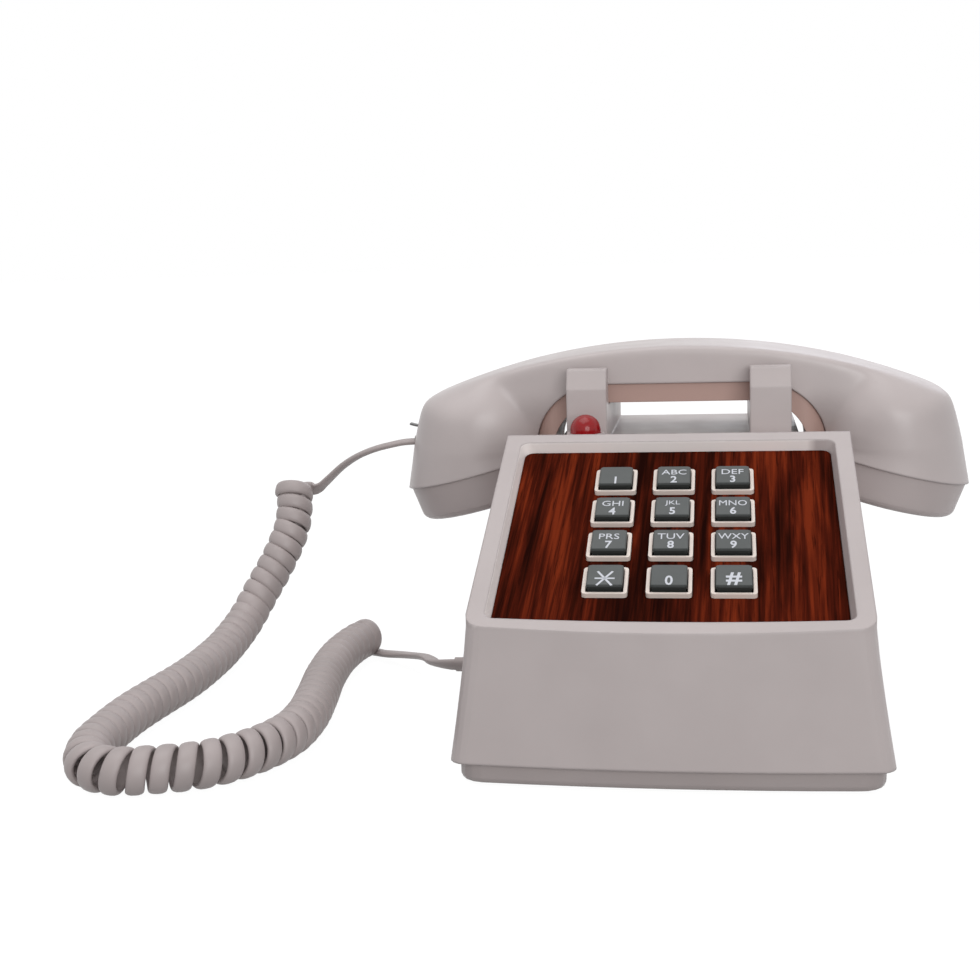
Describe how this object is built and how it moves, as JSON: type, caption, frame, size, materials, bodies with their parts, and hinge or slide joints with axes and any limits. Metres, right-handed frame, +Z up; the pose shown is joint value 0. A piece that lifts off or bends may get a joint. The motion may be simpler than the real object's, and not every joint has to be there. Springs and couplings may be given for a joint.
{
  "type": "push button desk telephone",
  "caption": "Corded desk telephone with a sloped wood-look keypad panel, a message lamp, a cradle with hook plungers, a one-piece handset and a curly cord.",
  "frame": {"origin": "on the table under the middle of the telephone without its cord", "axes": "+X to the right as the user faces the keypad, +Y to the back, +Z up"},
  "size_m": [0.2955, 0.225, 0.1171],
  "materials": {
    "ivory": "satin moulded plastic in a warm greyish ivory",
    "ivory_lower": "satin moulded plastic, a shade darker",
    "wood_look": "printed reddish brown wood grain under a satin coat",
    "frame_ivory": "smooth ivory plastic",
    "key_grey": "fine matte grey plastic",
    "black_rubber": "matte rubber",
    "board": "green coated circuit board",
    "steel": "zinc plated steel",
    "lamp_red": "polished translucent red",
    "black_plastic": "matte black plastic",
    "clear_plastic": "smooth milky plastic",
    "cord_jacket": "soft satin jacket"
  },
  "bodies": {
    "base": {"base_pan": "ivory_lower", "housing": "ivory", "faceplate": "wood_look", "key_frames": "frame_ivory", "key_mat": "black_rubber", "keypad_board": "board", "keypad_screws": "steel", "message_lamp": "lamp_red", "lamp_collar": "ivory", "lamp_holder": "black_plastic", "lamp_led": "clear_plastic", "hook_springs": "steel", "hook_bracket": "steel", "hook_switch": "black_plastic", "bracket_screws": "steel", "main_board": "board", "board_parts": "black_plastic", "board_screws": "steel", "sounder": "black_plastic", "ballast_plate": "steel", "rubber_feet": "black_rubber", "case_screws": "steel", "line_jack": "black_plastic", "ringer_switch": "black_plastic", "strain_relief": "ivory_lower", "handset_leader": "cord_jacket", "curly_cord": "cord_jacket", "base_leader": "cord_jacket"},
    "handset": {"handset_outer_shell": "ivory", "handset_inner_shell": "ivory_lower", "receiver_capsule": "black_plastic", "microphone_capsule": "black_plastic", "handset_weight": "steel", "handset_screws": "steel", "handset_jack": "black_plastic", "handset_plug": "clear_plastic"},
    "hook": {"hook_plunger_left": "clear_plastic", "hook_plunger_right": "clear_plastic", "hook_yoke": "black_plastic"},
    "ringer_knob": {"ringer_knob": "ivory"},
    "key_1": {"key_1": "key_grey"},
    "key_2": {"key_2": "key_grey"},
    "key_3": {"key_3": "key_grey"},
    "key_4": {"key_4": "key_grey"},
    "key_5": {"key_5": "key_grey"},
    "key_6": {"key_6": "key_grey"},
    "key_7": {"key_7": "key_grey"},
    "key_8": {"key_8": "key_grey"},
    "key_9": {"key_9": "key_grey"},
    "key_star": {"key_star": "key_grey"},
    "key_0": {"key_0": "key_grey"},
    "key_hash": {"key_hash": "key_grey"}
  },
  "joints": [
    {"name": "handset_lift", "type": "slide", "parent": "base", "child": "handset", "axis": [0, 0, 1], "range_m": [0, 0.06]},
    {"name": "hook_rise", "type": "slide", "parent": "base", "child": "hook", "axis": [0, 0, 1], "range_m": [0, 0.005], "stiffness_N_per_m": 60, "springref_m": 0.01, "deforming": ["hook_springs"]},
    {"name": "ringer_slide", "type": "slide", "parent": "base", "child": "ringer_knob", "axis": [1, 0, 0], "range_m": [0, 0.006]},
    {"name": "key_1_press", "type": "slide", "parent": "base", "child": "key_1", "axis": [0, 0.3746, -0.9272], "range_m": [0, 0.002], "stiffness_N_per_m": 250, "springref_m": -0.001},
    {"name": "key_2_press", "type": "slide", "parent": "base", "child": "key_2", "axis": [0, 0.3746, -0.9272], "range_m": [0, 0.002], "stiffness_N_per_m": 250, "springref_m": -0.001},
    {"name": "key_3_press", "type": "slide", "parent": "base", "child": "key_3", "axis": [0, 0.3746, -0.9272], "range_m": [0, 0.002], "stiffness_N_per_m": 250, "springref_m": -0.001},
    {"name": "key_4_press", "type": "slide", "parent": "base", "child": "key_4", "axis": [0, 0.3746, -0.9272], "range_m": [0, 0.002], "stiffness_N_per_m": 250, "springref_m": -0.001},
    {"name": "key_5_press", "type": "slide", "parent": "base", "child": "key_5", "axis": [0, 0.3746, -0.9272], "range_m": [0, 0.002], "stiffness_N_per_m": 250, "springref_m": -0.001},
    {"name": "key_6_press", "type": "slide", "parent": "base", "child": "key_6", "axis": [0, 0.3746, -0.9272], "range_m": [0, 0.002], "stiffness_N_per_m": 250, "springref_m": -0.001},
    {"name": "key_7_press", "type": "slide", "parent": "base", "child": "key_7", "axis": [0, 0.3746, -0.9272], "range_m": [0, 0.002], "stiffness_N_per_m": 250, "springref_m": -0.001},
    {"name": "key_8_press", "type": "slide", "parent": "base", "child": "key_8", "axis": [0, 0.3746, -0.9272], "range_m": [0, 0.002], "stiffness_N_per_m": 250, "springref_m": -0.001},
    {"name": "key_9_press", "type": "slide", "parent": "base", "child": "key_9", "axis": [0, 0.3746, -0.9272], "range_m": [0, 0.002], "stiffness_N_per_m": 250, "springref_m": -0.001},
    {"name": "key_star_press", "type": "slide", "parent": "base", "child": "key_star", "axis": [0, 0.3746, -0.9272], "range_m": [0, 0.002], "stiffness_N_per_m": 250, "springref_m": -0.001},
    {"name": "key_0_press", "type": "slide", "parent": "base", "child": "key_0", "axis": [0, 0.3746, -0.9272], "range_m": [0, 0.002], "stiffness_N_per_m": 250, "springref_m": -0.001},
    {"name": "key_hash_press", "type": "slide", "parent": "base", "child": "key_hash", "axis": [0, 0.3746, -0.9272], "range_m": [0, 0.002], "stiffness_N_per_m": 250, "springref_m": -0.001}
  ],
  "couplings": [
    {"joint": "hook_rise", "follows": "handset_lift", "ratio": 0.08333}
  ]
}
